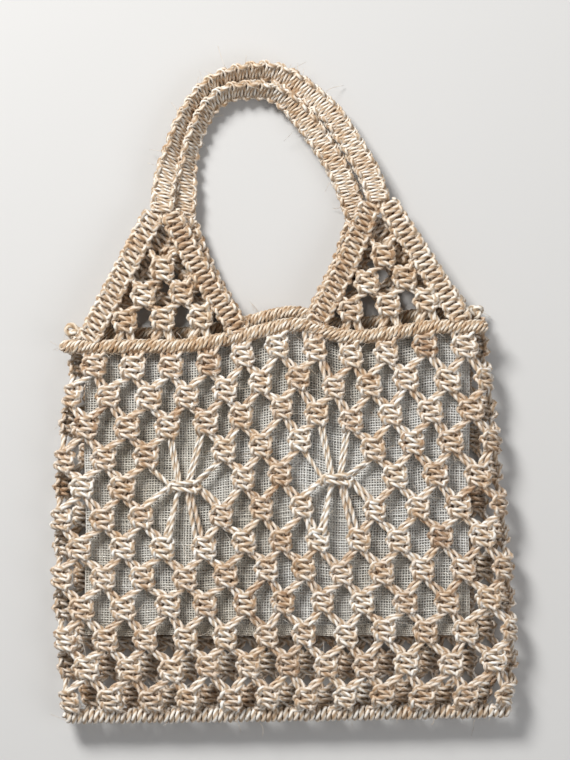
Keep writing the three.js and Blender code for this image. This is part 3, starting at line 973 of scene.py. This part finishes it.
def shoulder_knots(skein, plan, corners):
    outer, inner, top = (np.array(corners[key]) * MM for key in ("outer", "inner", "top"))
    middle = (outer + inner) / 2
    up = (top - middle) / np.linalg.norm(top - middle)
    right = np.array([up[1], -up[0]])
    span = inner - outer
    tilt = math.atan2(*(np.abs(span)[::-1])) * math.copysign(1, span[1] * span[0])

    def place(row, i, points):
        across = (i - row / 2) * FILL_ACROSS
        centre = middle + right * across + up * (FILL_FOOT + (FILL_ROWS - 1 - row) * FILL_DOWN)
        centre = centre + [0, math.tan(tilt) * across]
        flat = centre + right * points[:, :1] - up * points[:, 1:2]
        return on_handle(plan, np.column_stack([flat, points[:, 2]]))

    lines = []
    for row in range(FILL_ROWS):
        for i in range(row + 1):
            starts = []
            for side, beside in ((-1, i - 1), (1, i)):
                if 0 <= beside < row:
                    filler_end = fill_fillers[-side][2:]
                    outer_end = (fill_wrap if side < 0 else fill_lead)[-2:]
                else:
                    filler_end = np.array([[-side * 3.5, 3, 0], [-side * 6, 5, 0]]) * MM
                    outer_end = filler_end + [0, 2.5 * MM, MM]
                starts.append([place(row - 1, beside, end) for end in (filler_end, outer_end)])
            (lead_start, left_start), (wrap_start, right_start) = starts
            for start, shape in zip((lead_start, left_start, right_start, wrap_start),
                                    (fill_lead, fill_fillers[-1], fill_fillers[1], fill_wrap)):
                line = [*start, *place(row, i, shape)]
                if row == FILL_ROWS - 1:
                    spread = math.copysign(FOOT_SPREAD, shape[-1, 0])
                    foot = shape[-1:] * [1, 1, 0] + [spread, FILL_FOOT + 2 * MM, 0]
                    line += [*place(row, i, foot)]
                lines.append(line)
    for count in sorted({len(line) for line in lines}):
        skein.add([line for line in lines if len(line) == count])


# %% Both handles
for end, plan in HANDLES.items():
    for side in ("left", "right"):
        name = f"{end}_handle_{side}"
        skein = Skein(seed=110)
        shoulder_bands(skein, plan, plan[side])
        bands = skein.make(f"{end}_{side}_shoulder_bands", jute_handle)
        skein = Skein(seed=111)
        shoulder_knots(skein, plan, plan[side])
        fill = skein.make(f"{end}_{side}_shoulder_fill", jute_handle)
        for piece, endings in ((bands, ("_border_outer", "_border_inner")), (fill, ("_knots",))):
            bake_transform(piece)
            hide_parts(*(name + ending for ending in endings))
    skein = Skein(seed=112)
    halves = band(skein, plan, plan["strap"], STRAP_PITCH, STRAP_SHAPE, STRAP_FILLERS, LEAD_PAIR,
                  strap_roll)
    print(f"{end} strap: {halves} half knots")
    finish_piece(skein.make(f"{end}_strap", jute_handle), f"{end}_handle", "handle_jute",
                 f"{end}_handle_strap_core", f"{end}_handle_strap_knots")

# %% [markdown]
# ## The lining
# The lining is coarse cotton gauze, so open that the weave itself shows. It is made thread by
# thread: each thread has one ring at each crossing and goes over and under by turns. That keeps
# the mesh small, and the holes between the threads are real holes.

# %% Weaving a sheet
LINING_LEFT, LINING_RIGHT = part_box("lining_front")[0].x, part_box("lining_front")[1].x
GAUZE_PITCH = {"front": 1.72 * MM, "back": 2.2 * MM}   # the back is seen only through the front
GAUZE_THREAD = np.array([0.24, 0.17])         # half width and half thickness, for a pitch of 1
GAUZE_CREASE = 0.6 * MM
GAUZE_BELOW_RIM = 4.5 * MM
HEM_PITCH = 1.3 * MM
HEM_THREAD = GAUZE_THREAD * [1.8, 2.4] * MM
HEM_CREASE = 1.0 * MM


def weave(name, material, height, low, top, pitch, thread, crease, seed):
    """Weaves threads between two heights; top is a function of x."""
    random = np.random.default_rng(seed)
    across = int((LINING_RIGHT - LINING_LEFT) / pitch) + 1
    down = int((top(0.0) - low) / pitch) + 1
    x = np.linspace(LINING_LEFT, LINING_RIGHT, across)[:, None] + random.normal(0, 0.07 * pitch, (across, 1))
    share = np.linspace(0, 1, down)[None, :] + random.normal(0, 0.07 / down, (1, down))
    x = x + 0.5 * MM * np.sin(share * 9 + x * 60)
    y = low + (top(x) - low) * share + 0.45 * MM * np.sin(x * 140)
    fold = np.sin(x * 70 + y * 38) * np.sin(y * 55 - x * 21) + 0.5 * np.sin(x * 190 - y * 130)
    z = height + crease * fold
    over = np.where((np.arange(across)[:, None] + np.arange(down)[None, :]) % 2, 1.0, -1.0) * thread[1] * 0.9
    points, faces, tones, count = [], [], [], 0
    warp = np.stack([x, y, z + over], -1)
    weft = np.stack([x, y, z - over], -1).transpose(1, 0, 2)
    for lines, side in ((warp, (1, 0)), (weft, (0, 1))):
        wide = thread[0] * random.uniform(0.75, 1.25, (len(lines), 1))
        rings = np.repeat(lines[:, :, None], 3, 2)
        for k, sign in ((0, 1), (2, -1)):
            rings[:, :, k, 0] += sign * side[0] * wide
            rings[:, :, k, 1] -= sign * side[1] * wide
            rings[:, :, k, 2] -= thread[1] / 2
        rings[:, :, 1, 2] += thread[1]
        index = np.arange(rings[..., 0].size).reshape(rings.shape[:3]) + count
        ahead = np.roll(index, -1, 2)
        quads = np.stack([index[:, :-1], index[:, 1:], ahead[:, 1:], ahead[:, :-1]], -1)
        faces += quads.reshape(-1, 4).tolist()
        faces += index[:, 0].tolist() + index[:, -1, ::-1].tolist()
        points.append(rings.reshape(-1, 3))
        tone = np.clip(random.normal(0.6, 0.2, (len(lines), 1)), 0, 1)
        tones.append(np.broadcast_to(tone, index.shape[:2]).repeat(3).ravel())
        count += index.size
    points = np.concatenate(points)
    mesh = bpy.data.meshes.new(name)
    mesh.from_pydata(points.tolist(), [], faces)
    mesh.attributes.new("cord_shade", "FLOAT", "POINT").data.foreach_set("value", np.concatenate(tones))
    mesh.polygons.foreach_set("use_smooth", np.ones(len(faces), bool))
    mesh.materials.append(material)
    piece = bpy.data.objects.new(name, mesh)
    bpy.context.scene.collection.objects.link(piece)
    print(f"{name}: {across} by {down} threads, {2 * len(faces)} triangles")
    return piece


# %% Two linings and their hems
for end, seed in (("front", 130), ("back", 131)):
    low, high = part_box(f"lining_{end}")
    hem_low, hem_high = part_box(f"lining_hem_{end}")
    middle = (low.z + high.z) / 2
    pitch = GAUZE_PITCH[end]
    sheet = weave(f"gauze_{end}", gauze, middle, low.y, lambda x: height_on(rim_line, x) - GAUZE_BELOW_RIM,
                  pitch, GAUZE_THREAD * pitch, GAUZE_CREASE, seed)
    hem = weave(f"gauze_hem_{end}", gauze_hem, (hem_low.z + hem_high.z) / 2, hem_low.y,
                lambda x: hem_high.y, HEM_PITCH, HEM_THREAD, HEM_CREASE, seed + 10)
    finish_piece(sheet, f"{end}_panel", "lining_gauze", f"lining_{end}")
    finish_piece(hem, f"{end}_panel", "lining_hem", f"lining_hem_{end}")

# %% [markdown]
# ## Stray fibres
# Jute sheds. Fine ends stand out all over the cords, and against a plain floor they are what makes
# an edge look like fibre and not like plastic. They grow from random places on the finished pieces.


# %% Growing fibres
FIBRE_LONGEST = 11 * MM


def stray_fibres(name, sources, count, body, seed):
    random = np.random.default_rng(seed)
    spots, normals = [], []
    for piece in sources:
        mesh = piece.data
        chosen = random.integers(0, len(mesh.vertices), count)
        spots += [tuple(mesh.vertices[int(i)].co) for i in chosen]
        normals += [tuple(mesh.vertices[int(i)].normal) for i in chosen]
    spots, normals = np.array(spots), np.array(normals)
    length = np.minimum(random.gamma(2.2, 2.6 * MM, (len(spots), 1)), FIBRE_LONGEST)
    heading = normals * 0.9 + random.normal(0, 0.6, normals.shape)
    heading /= np.linalg.norm(heading, axis=1, keepdims=True)
    curl = np.cross(heading, random.normal(0, 1, normals.shape)) * 0.5
    lines = []
    for t in (-0.1, 0.25, 0.5, 0.75, 1.0):
        drop = np.array([0, 0, -0.35]) * length * t * t
        point = spots + length * (heading * t + curl * t * t) + drop
        point[:, 2] = np.maximum(point[:, 2], 0.3 * MM)
        lines.append(point)
    skein = Skein(thickness=0.26 * MM, step=1.6 * MM, section=np.ones(4), seed=seed)
    skein.add(np.stack(lines, 1), shade=0.6, vary=0.2, parts=3)
    fibres = skein.make(name, jute_fuzz)
    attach(fibres, body)


def pieces_named(*names):
    return [bpy.data.objects[name] for name in names]


front_nets = pieces_named("front_net_upper", "front_net_middle", "front_net_lower", "front_rim_wraps")
stray_fibres("front_net_fibres", front_nets, 260, "front_panel", 151)
stray_fibres("back_net_fibres", pieces_named("back_net_upper", "back_net_lower", "back_rim_wraps"), 110,
             "back_panel", 152)
stray_fibres("seam_fibres", pieces_named("bottom_seam_wraps"), 70, "back_panel", 153)
for end in ("front", "back"):
    stray_fibres(f"{end}_strap_fibres", pieces_named(f"{end}_strap"), 150, f"{end}_handle",
                 154)

# %% Floor, sizes and finish
low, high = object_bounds()
bpy.ops.object.select_all(action="DESELECT")
bpy.ops.mesh.primitive_plane_add(size=6, location=(0, 0, low.z - 0.2 * MM))
floor = bpy.context.object
floor.name = "floor"
floor_finish, floor_shader = new_material("floor_paper")
floor_shader.inputs["Base Color"].default_value = (0.62, 0.61, 0.60, 1)
floor_shader.inputs["Roughness"].default_value = 0.9
floor.data.materials.append(floor_finish)
